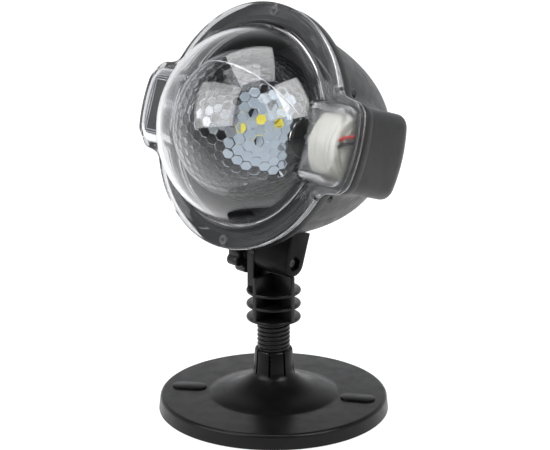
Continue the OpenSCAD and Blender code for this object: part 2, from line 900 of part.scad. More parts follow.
module board_parts() {
  top = pcb_z + pcb[2];
  color("#404048") in_lamp() {
    translate([-10, pcb_y + 5, top]) cylinder(r = 4, h = 8);
    translate([4, pcb_y + 6, top]) cylinder(r = 3.2, h = 8);
    box([-4, pcb_y - 10, top], [6, pcb_y - 4, top + 1.8]);
    box([12, pcb_y + 0, top], [20, pcb_y + 7, top + 6]);
    box([-24, pcb_y - 7, top], [-17, pcb_y + 6, top + 5]);
  }
}

module control_screws() {
  color(steel) in_lamp() {
    for (sx = [-1, 1]) {
      for (sy = [-1, 1]) {
        translate([sx * pcb_post[0], pcb_y + sy * pcb_post[1], pcb_z + pcb[2]])
          mirror([0, 0, 1]) screw(1, 6, 2, 1.4);
      }
    }
  }
}

led_path = [[-34, 1.2, -3], [-44, 1.2, -3], [-56, 1.2, -3], [-66, 1.2, -3.2], [-70.2, 1.2, -5],
  [-71, 1.2, -11]];
led_path_rear = [[-71, 0.6, -18], [-70, 0, -26], [-66, -1, -32], [-56, -1.5, -35], [-46.5, -1.5, -36],
  [-44, -1.5, -41], [-40, -1.5, -48], [-32, -1.5, -51.5], [-27, -1.5, -52.2]];

module led_lead_red() {
  color("#b02020") in_lamp() lead(concat(led_path, led_path_rear), lead_r);
}

module led_lead_black() {
  color(black) in_lamp() translate([0, -2.4, 0])
    lead(concat(led_path, led_path_rear), lead_r);
}

base_disc();
base_pad();
stem();
clamp_knob();
clamp_bolt();
knob_washer();
clamp_nut();
rear_housing();
front_cover();
cover_gasket();
cover_screws();
cable_gland();
gland_seal();
gland_nut();
ball_main_shell();
ball_cap_shell();
ball_hub_left();
ball_hub_right();
motor_shaft();
drive_motor();
motor_cap();
motor_screws();
motor_lead_red();
motor_lead_black();
led_arm();
arm_bracket();
bracket_screws();
heat_sink();
led_board();
led_chips();
led_parts();
board_screws();
inner_shroud();
shroud_screws();
control_board();
board_parts();
control_screws();
led_lead_red();
led_lead_black();
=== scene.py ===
import json
import math

import bmesh
import bpy
from mathutils import Matrix, Vector


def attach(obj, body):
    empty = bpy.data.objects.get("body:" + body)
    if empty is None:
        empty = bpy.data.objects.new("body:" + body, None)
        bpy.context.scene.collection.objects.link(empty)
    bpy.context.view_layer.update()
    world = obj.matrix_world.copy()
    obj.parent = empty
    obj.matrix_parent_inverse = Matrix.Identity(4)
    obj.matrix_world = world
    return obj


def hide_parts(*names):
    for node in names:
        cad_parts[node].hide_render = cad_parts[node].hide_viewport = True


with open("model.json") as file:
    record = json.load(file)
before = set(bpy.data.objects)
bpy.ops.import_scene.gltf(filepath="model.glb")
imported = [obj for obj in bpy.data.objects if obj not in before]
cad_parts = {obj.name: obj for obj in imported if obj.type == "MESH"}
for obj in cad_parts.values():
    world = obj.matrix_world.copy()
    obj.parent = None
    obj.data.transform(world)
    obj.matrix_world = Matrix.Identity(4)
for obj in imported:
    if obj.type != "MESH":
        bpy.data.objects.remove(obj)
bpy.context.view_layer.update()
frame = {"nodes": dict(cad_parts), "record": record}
BODY = {node: body for body, nodes in frame["record"]["behaviour"]["bodies"].items() for node in nodes}
SLOT = {part["node"]: part["material_slot"] for part in frame["record"]["subparts"]}
MM = 0.001

# ---- frames, in millimetres -----------------------------------------------------------
PIVOT_Z = 84.0       # the tilt axis above the floor
TILT = math.radians(-18)
FACE_F = 42.6        # the cover's front plane before the tilt axis
AXIS_N = 65.7        # the lamp's axis above the tilt axis
BALL_SINK = 3.0      # the ball's centre behind the cover's front plane
ROW = Matrix.Identity(4)
HEAD = Matrix.Translation((0, 0, PIVOT_Z)) @ Matrix.Rotation(TILT, 4, "X")
LAMP = HEAD @ Matrix.Translation((0, -FACE_F, AXIS_N)) @ Matrix.Rotation(math.radians(90), 4, "X")
BALL = LAMP @ Matrix.Translation((0, 0, -BALL_SINK))
PIVOT = Matrix.Translation((0, 0, PIVOT_Z))
ALONG_X = Matrix.Rotation(math.radians(90), 4, "Y")

# ---- sizes of the lamp, in millimetres ------------------------------------------------
FLANGE_R = 63.97     # flange
EAR_R = 77.17        # reach, half height, corners and neck fillets of the flange's two ears
EAR_Y = 23.4
EAR_CORNER = 9.0
EAR_BLEND = 11.0
POD_INSET = 1.6      # housing's pods inside the ears
WINDOW_INSET = 3.0   # raised windows inside the ears
WINDOW_H = 8.0
WINDOW_FALL = 4.5    # width of a window's rounded edge
COVER_T = 3.0        # flange's thickness
COVER_WALL = 2.0
DOME_R = 53.3
DOME_SINK = 10.5     # dome's centre behind the front plane
GASKET_Z = -4.0      # front of the housing's rim
RIM_Z = -9.5         # back of the housing's rim
BOWL_R = 57.5
BOWL_D = 86.0
BOWL_P = 1.65        # the two powers of the bowl's curve
BOWL_Q = 3.2
WALL = 2.6
POD_D = 42.0         # pods' depth
LUG_R = 7.0          # housing's lug and neck's ear: radius, the lug's outer face, the ear's inner face
LUG_X = 15.5
EAR_FACE = 8.2
SCREW_SPOTS = [(0, 60), (0, -60), (54.2, 26.6), (54.2, -26.6), (-54.2, 26.6), (-54.2, -26.6)]
BOSS_R = 2.9         # housing's screw bosses
GLAND_Y = -12.0      # cable gland below the lamp's axis
GLAND_R = 10.0       # pad round the cable gland
BALL_R = 39.5
BALL_WALL = 2.0
POLE_R = 9.0         # opening at each pole of the ball
POLE_FLAT = 38.3
SEAM_OFF = 4.6       # plane of the ball's seam
SEAM_ANG = 51.0
SEAM_GAP = 0.2
CELL_FREQUENCY = 9   # cells along an edge of the ball's icosahedron
CELL_BULGE = 0.05
CELL_GROOVE = 0.05
MOTOR_R = 18.4
MOTOR_X = 49.5
MOTOR_L = 14.0
SHAFT_OFF = 10.6
SHAFT_R = 2.5
MOTOR_SCREW_Y = 10.5
BRACKET_LO = (-68.5, -16.5, -20.0)
BRACKET_HI = (-52.0, 16.5, 4.5)
FRAME_W = 0.5        # line width of the bracket's panel frames
ARM_R = 5.0

# ---- sizes of the neck, knob and base, in millimetres ---------------------------------
NECK_R = 14.6
DISC_T = 1.7         # thickness, lowest place and spacing of the neck's discs
DISC_Z = 51.4
DISC_PITCH = 7.45
WEB_T = 2.6
STUD_R = 8.8
ROOT_R = 7.85        # root of the stud's thread
THREAD = 2.4
STUD_LOW = 10.6
SEAT_X = -15.2       # washer seat on the neck's ear
WASHER_X = -16.2
KNOB_R = 12.0
KNOB_X = -25.0
KNOB_L = 8.0
LOBE_R = 2.9
LOBES = 7
BOLT_HOLE = 2.05     # radius of the hole for the tilt bolt
BASE_R = 62.0
BASE_H = 8.5
MOUND_R = 35.0
MOUND_TOP = 20.5
MOUND_SWELL = 3.4
SOCKET_R = 10.9
SOCKET_TOP = 34.0
BORE_R = 8.85
BORE_FLOOR = 10.0
SLIT_W = 1.1
SLIT_FIRST = -57.0
SLITS = 8
OVAL_AT = 46.3       # raised ovals: distance from the centre, length, width, height
OVAL_L = 18.8
OVAL_W = 10.2
OVAL_H = 0.9
OVAL_ANGLES = (216, 31.5)
PAD_T = 2.2
PAD_R = 58.2

# ---- light and finish, in metres ------------------------------------------------------
PLASTIC_IOR = 1.49
CLOUD_SCALE = 55     # slow clouds in the clear plastics
GRAIN_DEPTH = 0.00004
MIST = 0.24          # roughness added to the window over the motor
MIST_X = (0.047, 0.056)     # places along X between which it grows
FLANGE_EDGE_PAINTED_SHADE = 0.35    # painted shade on the flange's edge, below the front plane: the colour is darkened by this factor
LUG_PAINTED_SHADE_GLOSS = 0.08     # the lug's gloss, lowered as painted shade under the head, the bowl's, and the heights between which it changes
BOWL_GLOSS = 0.55
LUG_PAINTED_SHADE_Z = (0.100, 0.125)
CAMERA_LENS = 118.1  # focal length for a sensor 36 mm wide
CAMERA_AT = (0.644, -0.6465, 0.370)
CAMERA_DOWN = 0.2855        # the camera's tilt below level, and its turn from the base's centre
CAMERA_ASIDE = 0.0008
AWAY = (-0.70, 0.71, 0.0)   # level direction from the camera to the object and on
CENTRE = Vector((0, -0.03, 0.15))
SOFTBOX_FAR = 1.35   # distance of the softboxes from CENTRE
# name, direction from CENTRE, direction of the first edge, size of both edges, radiance
SOFTBOXES = [
    ("softbox_left", (-0.202, -0.835, 0.512), (1.2, -0.1, 0.3), (1.2, 1.1), 3.7),
    ("softbox_top", (-0.046, -0.08, 0.996), (0.59, 0.79, 0.09), (0.9, 1.15), 4.0),
    ("softbox_right", (0.70, 0.06, 0.569), (-0.09, 0.72, -0.08), (0.73, 0.95), 5.8),
]
FLOOR_R = 7
FLOOR_FADE = (-0.26, -0.07)  # distances along AWAY over which the floor changes, its glow and its grey
FLOOR_GLOW = (0.10, 0.86)
FLOOR_GREY = (0.28, 0.32)
SKY_BACK = (-0.55, 0.35)     # where the surroundings turn white, along AWAY and downwards
SKY_DOWN = (-0.79, -0.34)
SKY_LIGHT = (0.10, 0.95)     # strength of their dark and white parts


# ---- mesh helpers ---------------------------------------------------------------------
def loft(rings, closed_ends=True):
    """A skin through rings of equal length; a ring of one point closes to a pole."""
    bm = bmesh.new()
    made = [[bm.verts.new(p) for p in ring] for ring in rings]
    for a, b in zip(made, made[1:]):
        n = max(len(a), len(b))
        for i in range(n):
            j = (i + 1) % n
            if len(a) == 1:
                bm.faces.new((a[0], b[i], b[j]))
            elif len(b) == 1:
                bm.faces.new((a[i], b[0], a[j]))
            else:
                bm.faces.new((a[i], b[i], b[j], a[j]))
    if closed_ends:
        for ring in (made[0], made[-1]):
            if len(ring) > 2:
                bm.faces.new(ring)
    bmesh.ops.recalc_face_normals(bm, faces=bm.faces)
    return bm


def lathe(profile, n=128):
    """A profile of (radius, height) turned about Z."""
    turn = [(math.cos(2 * math.pi * k / n), math.sin(2 * math.pi * k / n)) for k in range(n)]
    return loft([[(0, 0, z)] if r < 1e-6 else [(r * c, r * s, z) for c, s in turn] for r, z in profile])


def rod(r, x0, x1, edge=0.0, n=64):
    """A rod along X with rounded end edges."""
    if edge:
        profile = [(0, x0)] + [(r - edge * (1 - math.sin(a)), x0 + edge * (1 - math.cos(a)))
                               for a in (0, 0.52, 1.05, math.pi / 2)]
        profile += [(r - edge * (1 - math.cos(a)), x1 - edge * (1 - math.sin(a)))
                    for a in (0, 0.52, 1.05, math.pi / 2)] + [(0, x1)]
    else:
        profile = [(0, x0), (r, x0), (r, x1), (0, x1)]
    bm = lathe(profile, n)
    bmesh.ops.transform(bm, matrix=ALONG_X, verts=bm.verts)
    return bm


def block(lo, hi, edge=0.5, segments=3):
    """A box with rounded edges."""
    bm = bmesh.new()
    bmesh.ops.create_cube(bm, size=1)
    lo, hi = Vector(lo), Vector(hi)
    for v in bm.verts:
        v.co = Vector(((lo[i] + hi[i]) / 2 + v.co[i] * (hi[i] - lo[i]) for i in range(3)))
    if edge:
        bmesh.ops.bevel(bm, geom=list(bm.edges), offset=edge, segments=segments, profile=0.5, affect="EDGES")
    return bm


def moved(bm, matrix):
    bmesh.ops.transform(bm, matrix=matrix, verts=bm.verts)
    return bm


def shift(x, y, z):
    return Matrix.Translation((x, y, z))


def as_object(bm, name="scratch"):
    mesh = bpy.data.meshes.new(name)
    bm.to_mesh(mesh)
    bm.free()
    obj = bpy.data.objects.new(name, mesh)
    bpy.context.scene.collection.objects.link(obj)
    return obj


def combine(first, others, operation):
    """Boolean of a closed mesh with several others, or with one other for INTERSECT."""
    base = as_object(first)
    tools = bpy.data.collections.new("tools")
    bpy.context.scene.collection.children.link(tools)
    parts = []
    for bm in others:
        part = as_object(bm)
        bpy.context.scene.collection.objects.unlink(part)
        tools.objects.link(part)
        parts.append(part)
    mod = base.modifiers.new("cut", "BOOLEAN")
    if operation == "INTERSECT":
        mod.object = parts[0]
    else:
        mod.operand_type = "COLLECTION"
        mod.collection = tools
    mod.operation = operation
    mod.solver = "MANIFOLD"
    graph = bpy.context.evaluated_depsgraph_get()
    mesh = bpy.data.meshes.new_from_object(base.evaluated_get(graph))
    result = bmesh.new()
    result.from_mesh(mesh)
    for obj in [base] + parts:
        old = obj.data
        bpy.data.objects.remove(obj)
        bpy.data.meshes.remove(old)
    bpy.data.meshes.remove(mesh)
    bpy.data.collections.remove(tools)
    bmesh.ops.remove_doubles(result, verts=result.verts, dist=1e-4)
    return result


def piece(name, bm, matrix, finish, nodes, sharp=32, slot_of=None):
    """Puts a mesh in the row frame, on the body of the CAD node that it replaces or belongs to."""
    bmesh.ops.transform(bm, matrix=Matrix.Scale(MM, 4) @ matrix, verts=bm.verts)
    obj = as_object(bm, name)
    obj.data.name = name
    obj.data.materials.append(finish)
    obj.data.shade_smooth()
    obj.data.set_sharp_from_angle(angle=math.radians(sharp))
    owner = slot_of or nodes[0]
    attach(obj, BODY[owner])
    if nodes:
        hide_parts(*nodes)
    return obj


# ---- materials ------------------------------------------------------------------------
def material(name):
    mat = bpy.data.materials.new(name)
    mat.use_nodes = True
    tree = mat.node_tree
    shader = tree.nodes["Principled BSDF"]
    where = tree.nodes.new("ShaderNodeTexCoord")
    return mat, tree, shader, where.outputs["Object"]


def noise(tree, where, scale, detail=3.0, rough=0.55):
    node = tree.nodes.new("ShaderNodeTexNoise")
    node.inputs["Scale"].default_value = scale
    node.inputs["Detail"].default_value = detail
    node.inputs["Roughness"].default_value = rough
    tree.links.new(where, node.inputs["Vector"])
    return node.outputs["Fac"]


def spread(tree, value, low, high, start=0.35, end=0.65):
    node = tree.nodes.new("ShaderNodeMapRange")
    node.inputs["From Min"].default_value = start
    node.inputs["From Max"].default_value = end
    node.inputs["To Min"].default_value = low
    node.inputs["To Max"].default_value = high
    tree.links.new(value, node.inputs["Value"])
    return node.outputs["Result"]


def blend_colour(tree, value, low, high, start=0.35, end=0.65):
    ramp = tree.nodes.new("ShaderNodeValToRGB")
    ramp.color_ramp.elements[0].position = start
    ramp.color_ramp.elements[1].position = end
    ramp.color_ramp.elements[0].color = (*low, 1)
    ramp.color_ramp.elements[1].color = (*high, 1)
    tree.links.new(value, ramp.inputs["Fac"])
    return ramp.outputs["Color"]


def bump(tree, shader, value, strength, distance):
    node = tree.nodes.new("ShaderNodeBump")
    node.inputs["Strength"].default_value = strength
    node.inputs["Distance"].default_value = distance
    tree.links.new(value, node.inputs["Height"])
    tree.links.new(node.outputs["Normal"], shader.inputs["Normal"])


def plastic(name, low, high, rough, patch=60, grain=2600, strength=0.35, gloss=0.5):
    """Moulded plastic: slow colour patches, uneven gloss and a fine spark-eroded grain."""
    mat, tree, shader, where = material(name)
    patches = noise(tree, where, patch, 4)
    tree.links.new(blend_colour(tree, patches, low, high), shader.inputs["Base Color"])
    tree.links.new(spread(tree, noise(tree, where, patch * 3.1, 5), *rough), shader.inputs["Roughness"])
    bump(tree, shader, noise(tree, where, grain, 2), strength, GRAIN_DEPTH)
    shader.inputs["IOR"].default_value = PLASTIC_IOR
    shader.inputs["Specular IOR Level"].default_value = gloss
    return mat


def metal(name, low, high, rough=(0.25, 0.4), stretch=(1, 1, 1)):
    """Turned or plated metal with fine tool marks."""
    mat, tree, shader, where = material(name)
    mapping = tree.nodes.new("ShaderNodeMapping")
    mapping.inputs["Scale"].default_value = stretch
    tree.links.new(where, mapping.inputs["Vector"])
    marks = noise(tree, mapping.outputs["Vector"], 900, 4)
    tree.links.new(blend_colour(tree, marks, low, high), shader.inputs["Base Color"])
    tree.links.new(spread(tree, noise(tree, where, 240, 4), *rough), shader.inputs["Roughness"])
    bump(tree, shader, marks, 0.25, 0.00003)
    shader.inputs["Metallic"].default_value = 1.0
    return mat


def clear(name, tint, shade):
    """Clear moulding. Lamps reach what is behind it through a Transparent shader."""
    mat, tree, shader, where = material(name)
    shader.inputs["Transmission Weight"].default_value = 1.0
    shader.inputs["IOR"].default_value = PLASTIC_IOR
    cloud = noise(tree, where, CLOUD_SCALE, 4)
    paler = tuple(min(1, c * 1.03) for c in tint)
    tree.links.new(blend_colour(tree, cloud, tint, paler), shader.inputs["Base Color"])
    smears = noise(tree, where, CLOUD_SCALE * 2.3, 5)
    tree.links.new(spread(tree, smears, 0.0, 0.03, 0.45, 0.75), shader.inputs["Roughness"])
    through = tree.nodes.new("ShaderNodeBsdfTransparent")
    through.inputs["Color"].default_value = (*shade, 1)
    path = tree.nodes.new("ShaderNodeLightPath")
    mix = tree.nodes.new("ShaderNodeMixShader")
    tree.links.new(path.outputs["Is Shadow Ray"], mix.inputs[0])
    tree.links.new(shader.outputs["BSDF"], mix.inputs[1])
    tree.links.new(through.outputs["BSDF"], mix.inputs[2])
    tree.links.new(mix.outputs["Shader"], tree.nodes["Material Output"].inputs["Surface"])
    return mat


def along(tree, where, direction):
    """Distance along a direction."""
    node = tree.nodes.new("ShaderNodeVectorMath")
    node.operation = "DOT_PRODUCT"
    node.inputs[1].default_value = direction
    tree.links.new(where, node.inputs[0])
    return node.outputs["Value"]


def clear_cover():
    """The cover's plastic: misted over the motor, and darkened at the flange's edge below its front plane, a
    painted shade.
    """
    mat = clear("cover_clear", (0.84, 0.845, 0.86), (0.85, 0.86, 0.88))
    tree = mat.node_tree
    shader = tree.nodes["Principled BSDF"]
    where = tree.nodes["Texture Coordinate"].outputs["Object"]
    mist = tree.nodes.new("ShaderNodeMath")
    mist.operation = "ADD"
    tree.links.new(shader.inputs["Roughness"].links[0].from_socket, mist.inputs[0])
    tree.links.new(spread(tree, along(tree, where, (1, 0, 0)), 0, MIST, *MIST_X), mist.inputs[1])
    tree.links.new(mist.outputs["Value"], shader.inputs["Roughness"])
    out = LAMP.col[2].to_3d()
    plane = out.dot(LAMP.translation) * MM
    edge = tree.nodes.new("ShaderNodeVectorMath")
    edge.operation = "SCALE"
    tree.links.new(shader.inputs["Base Color"].links[0].from_socket, edge.inputs[0])
    # painted shade: the base colour darkens at the flange's edge, below the front plane
    below = spread(tree, along(tree, where, out), FLANGE_EDGE_PAINTED_SHADE, 1.0, plane - 0.4 * MM, plane - 0.2 * MM)
    tree.links.new(below, edge.inputs["Scale"])
    tree.links.new(edge.outputs["Vector"], shader.inputs["Base Color"])
    return mat


def housing_plastic():
    """The housing's plastic, with less gloss on the lug below the bowl: painted shade where the head shades
    it.
    """
    mat = plastic("housing_black", (0.005, 0.005, 0.0055), (0.009, 0.009, 0.010), (0.38, 0.48), strength=0.18)
    tree = mat.node_tree
    height = along(tree, tree.nodes["Texture Coordinate"].outputs["Object"], (0, 0, 1))
    # painted shade: the gloss falls from the bowl's value to the lug's value below the head
    gloss = spread(tree, height, LUG_PAINTED_SHADE_GLOSS, BOWL_GLOSS, *LUG_PAINTED_SHADE_Z)
    tree.links.new(gloss, tree.nodes["Principled BSDF"].inputs["Specular IOR Level"])
    return mat


M = {
    "housing": housing_plastic(),
    "base": plastic("base_black", (0.0026, 0.0022, 0.0024), (0.0046, 0.0041, 0.0043), (0.28, 0.37), patch=45,
                    gloss=0.2),
    "stem": plastic("stem_black", (0.0025, 0.0025, 0.0025), (0.005, 0.005, 0.005), (0.28, 0.38), gloss=0.3),
    "knob": plastic("knob_black", (0.003, 0.003, 0.003), (0.006, 0.006, 0.006), (0.3, 0.42), gloss=0.35),
    "gland": plastic("gland_black", (0.006, 0.006, 0.006), (0.012, 0.012, 0.012), (0.4, 0.5)),
    "inner": plastic("inner_black", (0.003, 0.003, 0.0035), (0.007, 0.007, 0.008), (0.32, 0.45),
                     strength=0.12, gloss=0.4),
    "rubber": plastic("rubber_black", (0.006, 0.006, 0.006), (0.012, 0.012, 0.012), (0.75, 0.9), grain=1500,
                      strength=0.12),
    "cream": plastic("cream_plastic", (0.37, 0.365, 0.31), (0.48, 0.47, 0.41), (0.35, 0.5), patch=90),
    "hub": plastic("hub_black", (0.004, 0.004, 0.004), (0.008, 0.008, 0.008), (0.3, 0.42), gloss=0.35),
    "board": plastic("led_board_white", (0.33, 0.39, 0.43), (0.39, 0.45, 0.48), (0.35, 0.5), patch=120),
    "chip": plastic("led_phosphor", (0.72, 0.60, 0.04), (0.84, 0.74, 0.10), (0.3, 0.45), patch=400),
    "pcb": plastic("green_mask", (0.010, 0.085, 0.030), (0.016, 0.125, 0.045), (0.28, 0.4), patch=150),
    "parts": plastic("parts_dark", (0.012, 0.012, 0.014), (0.03, 0.03, 0.036), (0.35, 0.5), patch=220),
    "red": plastic("lead_red", (0.38, 0.012, 0.010), (0.52, 0.020, 0.016), (0.35, 0.5), patch=300),
    "black_lead": plastic("lead_black", (0.006, 0.006, 0.006), (0.012, 0.012, 0.012), (0.4, 0.55), patch=300),
    # pale grey for the panel frames: a painted highlight for the light lines at the panel's edges
    "frame_painted_highlight": plastic("panel_frame_painted_highlight", (0.34, 0.34, 0.35), (0.46, 0.46, 0.47), (0.3, 0.4), patch=200),
    "glue": plastic("seam_glue", (0.50, 0.50, 0.51), (0.66, 0.66, 0.67), (0.25, 0.35), patch=500),
    "frost": plastic("boss_frosted", (0.10, 0.10, 0.10), (0.32, 0.32, 0.32), (0.3, 0.5), patch=420),
    "steel": metal("zinc_steel", (0.42, 0.43, 0.45), (0.62, 0.62, 0.63)),
    # dark steel: darker than the zinc steel, as painted shade for the dark nut pocket and screw heads
    "dark_steel": metal("steel_painted_shade", (0.035, 0.035, 0.037), (0.09, 0.09, 0.092), (0.35, 0.5)),
    "aluminium": metal("aluminium", (0.62, 0.63, 0.65), (0.78, 0.78, 0.80), (0.3, 0.45), (1, 0.06, 1)),
    "cover": clear_cover(),
    "ball": clear("ball_clear", (0.97, 0.975, 0.985), (0.95, 0.95, 0.96)),
}

SLOT_MATERIAL = {
    "base_black": "base", "stem_black": "stem", "knob_black": "knob", "housing_black": "housing",
    "gland_black": "gland", "inner_black": "inner", "clear_cover": "cover", "clear_ball": "ball",
    "rubber_black": "rubber", "steel": "steel", "cream_plastic": "cream", "hub_black": "hub",
    "aluminium": "aluminium", "led_pcb": "board", "led_yellow": "chip", "green_pcb": "pcb",
    "parts_dark": "parts", "lead_red": "red", "lead_black": "black_lead",
}
for node, obj in frame["nodes"].items():
    for i in range(len(obj.material_slots)):
        obj.material_slots[i].material = M[SLOT_MATERIAL[SLOT[node]]]
# painted shade: the tilt bolt, nut, washer and cover screws get the darkened steel
for node in ("clamp_bolt", "clamp_nut", "knob_washer", "cover_screws"):
    frame["nodes"][node].material_slots[0].material = M["dark_steel"]


# ---- outline of the lamp: a ring with two side pods -----------------------------------
def corner_centre(r, hy, rc):
    return math.sqrt(max(0.0, (r - rc) ** 2 - (hy - rc) ** 2)), hy - rc


def bar_reach(c, s, r, hy, rc):
    """Distance along (c, s) to the edge of a bar with ends on a circle of radius r and round corners."""
    c, s = abs(c), abs(s)
    cx, cy = corner_centre(r, hy, rc)
    if s * cx <= c * cy:
        return r
    if c * hy <= s * cx:
        return hy / s
    middle = c * cx + s * cy
    return middle + math.sqrt(max(0.0, middle * middle - cx * cx - cy * cy + rc * rc))


def soft_max(a, b, k):
    h = min(1.0, max(0.0, 0.5 + 0.5 * (a - b) / k))
    return b + (a - b) * h + k * h * (1 - h)


def reach(c, s, r, ear, hy, rc, k):
    return soft_max(bar_reach(c, s, ear, hy, rc), r, k)


def even_directions(per_quarter=100, samples=4000):
    """Directions that step evenly along the flange's edge, the same in each quarter."""
    fine = [math.pi / 2 * i / samples for i in range(samples + 1)]
    points = []
    for t in fine:
        c, s = math.cos(t), math.sin(t)
        points.append(Vector((c, s)) * reach(c, s, FLANGE_R, EAR_R, EAR_Y, EAR_CORNER, EAR_BLEND))
    run = [0.0]
    for a, b in zip(points, points[1:]):
        run.append(run[-1] + (b - a).length)
    angles = []
    j = 0
    for i in range(per_quarter):
        goal = run[-1] * i / per_quarter
        while run[j + 1] < goal:
            j += 1
        angles.append(fine[j] + (fine[j + 1] - fine[j]) * (goal - run[j]) / (run[j + 1] - run[j]))
    full = angles + [math.pi / 2]
    full += [math.pi - t for t in reversed(angles)]
    full += [math.pi + t for t in full[1:-1]]
    return [(math.cos(t), math.sin(t)) for t in full]


DIRECTIONS = even_directions()


def ring(z, r, ear, hy, rc, k=EAR_BLEND):
    loop = []
    for c, s in DIRECTIONS:
        d = reach(c, s, r, ear, hy, max(rc, 1.5), k)
        loop.append((c * d, s * d, z))
    return loop


def flange_ring(z, inset):
    return ring(z, FLANGE_R - inset, EAR_R - inset, EAR_Y - inset, EAR_CORNER - inset)


# ---- front cover ----------------------------------------------------------------------
def arc(cx, cy, r, a0, a1, n):
    """Points of an arc from a0 to a1 degrees, in n steps."""
    angles = [math.radians(a0 + (a1 - a0) * i / n) for i in range(n + 1)]
    return [(cx + r * math.cos(a), cy + r * math.sin(a)) for a in angles]


def window_block(inset, z0, z1, fall):
    """The raised windows: a wide bar that rises in a soft curve over the width fall."""
    steps = [(0, z0)]
    for i in range(11):
        a = math.pi / 2 * i / 10
        steps.append((fall * (1 - math.cos(a)), z1 * math.sin(a)))
    rings = []
    for shrink, z in steps:
        b = inset + shrink
        r, hy, rc = EAR_R - b, EAR_Y - b, max(EAR_CORNER - 0.4 * b, 3)
        cx, cy = corner_centre(r, hy, rc)
        first = math.degrees(math.atan2(cy, cx))
        half = arc(0, 0, r, -first, first, 24)
        half += arc(cx, cy, rc, first, 90, 12)[1:]
        half += arc(-cx, cy, rc, 90, 180 - first, 12)[:-1]
        loop = []
        for side in (0, 180):
            turn = Matrix.Rotation(math.radians(side), 3, "Z")
            loop += [turn @ Vector((x, y, z)) for x, y in half]
        rings.append(loop)
    return loft(rings)


def front_cover():
    edge = [(-COVER_T, 0.5), (-COVER_T + 0.15, 0.15), (-COVER_T + 0.5, 0), (-0.2, 0.0), (0.15, 0.2)]
    ridge = [(0.35, 0.6), (0.45, 1.1), (0.45, 1.8), (0.38, 2.3), (0.2, 2.9), (0.05, 3.4), (0, 3.9)]
    flange = loft([flange_ring(z, inset) for z, inset in edge + ridge])
    foot = DOME_SINK + 2.2
    start = math.degrees(math.asin(foot / DOME_R))
    foot_r = math.sqrt(DOME_R ** 2 - foot ** 2)
    outer = [(0, -1.5), (foot_r + 2.2, -1.5), (foot_r + 2.2, 0.0)]
    outer += [(foot_r + 1.4, 0.12), (foot_r + 0.75, 0.55), (foot_r + 0.28, 1.2)]
    outer += arc(0, -DOME_SINK, DOME_R, start, 89.2, 64) + [(0, DOME_R - DOME_SINK)]
    dome = lathe(outer, 192)
    windows = window_block(WINDOW_INSET, -1, WINDOW_H, WINDOW_FALL)
    inner_r = DOME_R - COVER_WALL
    inner = [(0, -COVER_T - 4), (inner_r - 1.5, -COVER_T - 4)]
    start = math.degrees(math.asin((DOME_SINK - COVER_T - 1) / inner_r))
    inner += arc(0, -DOME_SINK, inner_r, start, 89.2, 64) + [(0, inner_r - DOME_SINK)]
    hollow = lathe(inner, 192)
    window_hollow = window_block(WINDOW_INSET + COVER_WALL, -COVER_T - 3,
                                 WINDOW_H - COVER_WALL, WINDOW_FALL - 0.5)
    whole = combine(flange, [dome, windows], "UNION")
    return combine(whole, [hollow, window_hollow], "DIFFERENCE")


piece("front_cover_clear", front_cover(), LAMP, M["cover"], ["front_cover"], sharp=40)


def cover_bosses():
    """Frosted bosses under the flange, one for each screw."""
    r, top, low = 2.6, -COVER_T - 0.02, -6.9
    profile = [(1.2, low), (r - 0.25, low), (r, low + 0.3), (r, -3.4), (r - 0.15, top), (1.2, top)]
    bm = bmesh.new()
    for x, y in SCREW_SPOTS:
        boss = moved(lathe(profile, 40), shift(x, y, 0))
        mesh = bpy.data.meshes.new("boss")
        boss.to_mesh(mesh)
        boss.free()
        bm.from_mesh(mesh)
        bpy.data.meshes.remove(mesh)
    return bm


piece("cover_bosses", cover_bosses(), LAMP, M["frost"], [], slot_of="front_cover")


# ---- rear housing ---------------------------------------------------------------------
def bowl_radius(depth, inset):
    t = min(1.0, depth / (BOWL_D - inset))
    return (BOWL_R - inset) * (1 - t ** BOWL_P) ** (1 / BOWL_Q)


def shell_rings(inset, front, edge):
    """Bowl with side pods, as rings from the front to the pole; edge rounds the pods' rear."""
    hx0, hy0, rc = EAR_R - POD_INSET - inset, EAR_Y - 1.5 - inset, 8 - inset
    back, turn = POD_D - inset, 8 - inset
    depths = [front + (back - turn - front) * i / 8 for i in range(9)]
    rings = [ring(-d, bowl_radius(d, inset), hx0, hy0, rc) for d in depths]
    for i in range(1, 11):
        a = math.pi / 2 * i / 10
        d = back - turn + turn * math.sin(a)
        lift = max(0.0, d - (back - edge))
        hy = hy0 - edge + math.sqrt(max(0.0, edge * edge - lift * lift))
        rings.append(ring(-d, bowl_radius(d, inset), hx0 - turn + turn * math.cos(a), hy, rc))
    start = hx0 - turn
    meet = bowl_radius(back, inset)
    for i in range(1, 7):
        ear = start + (meet + 5 - start) * i / 6
        rings.append(ring(-back - 0.02 * i, meet, ear, hy0 - edge, rc))
    for i in range(1, 9):
        a = math.pi / 2 * i / 8
        d = back + 0.12 + 6 * (1 - math.cos(a))
        r = bowl_radius(d, inset)
        ear = r + 5 * (1 - math.sin(a))
        rings.append(ring(-d, r, ear, hy0 - edge - 1.5 * i / 8, rc, EAR_BLEND * (1 - 0.9 * i / 8)))
    left = BOWL_D - inset
    first = (back + 6.2) / left
    for i in range(1, 40):
        t = 1 - (1 - first) * (1 - i / 40) ** 1.9
        r = bowl_radius(t * left, inset)
        rings.append([(c * r, s * r, -t * left) for c, s in DIRECTIONS])
    rings.append([(0, 0, -left)])
    return rings


def plug(r, low, high, edge=0.0, n=48):
    """An upright cylinder; edge rounds its lower rim."""
    foot = [(r - edge, low), (r, low + edge)] if edge else [(r, low)]
    return lathe([(0, low)] + foot + [(r, high), (0, high)], n)


